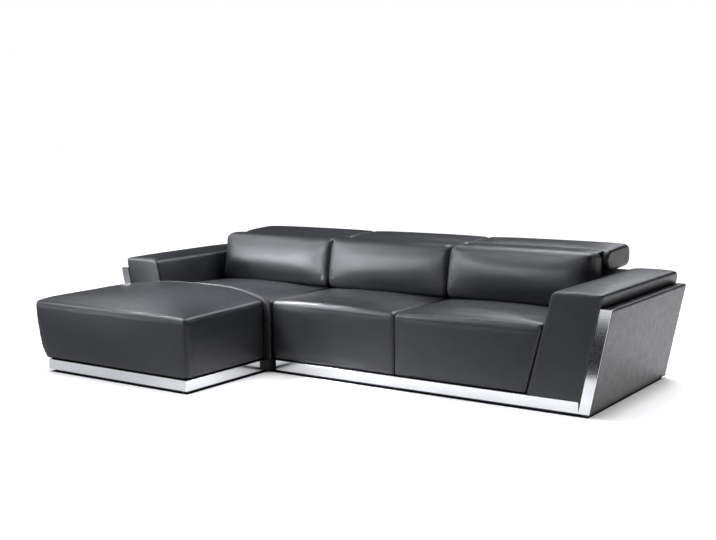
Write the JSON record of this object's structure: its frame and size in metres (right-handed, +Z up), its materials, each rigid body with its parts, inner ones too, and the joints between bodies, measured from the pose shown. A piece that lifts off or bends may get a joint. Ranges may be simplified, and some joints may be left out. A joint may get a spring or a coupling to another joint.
{
  "type": "corner sofa",
  "caption": "Low leather corner sofa with a chaise on the left, leaning side panels edged in stainless steel, and flip-up ratchet headrests.",
  "frame": {"origin": "on the floor, in the middle of the sofa's width and depth with the headrests lowered", "axes": "+X to the sitter-facing viewer's right, towards the arm of the two-seat module; +Y to the back; +Z up"},
  "size_m": [3.5057, 1.872, 0.7802],
  "materials": {
    "leather": "semi-gloss, fine grain",
    "polished_steel": "polished stainless steel",
    "zinc_steel": "zinc-plated pressings",
    "timber": "planed softwood and plywood",
    "black_plastic": "moulded",
    "webbing": "elastic webbing",
    "dust_cloth": "non-woven cloth"
  },
  "bodies": {
    "sofa": {"chaise_glides": "black_plastic", "sofa_glides": "black_plastic", "chaise_runners": "black_plastic", "sofa_runners": "black_plastic", "chaise_plinth": "polished_steel", "sofa_plinth": "polished_steel", "chaise_battens": "timber", "sofa_battens": "timber", "chaise_base_frame": "timber", "sofa_base_frame": "timber", "chaise_webbing": "webbing", "sofa_webbing": "webbing", "chaise_dust_cover": "dust_cloth", "sofa_dust_cover": "dust_cloth", "chaise_pad": "leather", "seat_pad_left": "leather", "seat_pad_middle": "leather", "seat_pad_right": "leather", "left_arm_pad": "leather", "right_arm_pad": "leather", "left_arm_frame": "timber", "right_arm_frame": "timber", "left_side_panel": "leather", "right_side_panel": "leather", "left_upright": "polished_steel", "right_upright": "polished_steel", "back_frame_left": "timber", "back_frame_right": "timber", "back_cover_left": "leather", "back_cover_right": "leather", "rear_panel_left": "leather", "rear_panel_right": "leather", "back_cushion_left": "leather", "back_cushion_middle": "leather", "back_cushion_right": "leather", "ratchet_legs": "zinc_steel", "leg_screws": "zinc_steel", "hinge_pins": "zinc_steel", "module_hooks": "zinc_steel", "module_keepers": "zinc_steel"},
    "headrest_left": {"headrest_pad_left": "leather", "headrest_board_left": "timber", "ratchet_arms_left": "zinc_steel", "ratchet_pawls_left": "zinc_steel"},
    "headrest_middle": {"headrest_pad_middle": "leather", "headrest_board_middle": "timber", "ratchet_arms_middle": "zinc_steel", "ratchet_pawls_middle": "zinc_steel"},
    "headrest_right": {"headrest_pad_right": "leather", "headrest_board_right": "timber", "ratchet_arms_right": "zinc_steel", "ratchet_pawls_right": "zinc_steel"}
  },
  "joints": [
    {"name": "headrest_left_tilt", "type": "hinge", "parent": "sofa", "child": "headrest_left", "pos_m": [-0.88787, 0.651, 0.694], "axis": [1, 0, 0], "range_deg": [0, 75]},
    {"name": "headrest_middle_tilt", "type": "hinge", "parent": "sofa", "child": "headrest_middle", "pos_m": [0.01897, 0.651, 0.694], "axis": [1, 0, 0], "range_deg": [0, 75]},
    {"name": "headrest_right_tilt", "type": "hinge", "parent": "sofa", "child": "headrest_right", "pos_m": [0.92581, 0.651, 0.694], "axis": [1, 0, 0], "range_deg": [0, 75]}
  ]
}
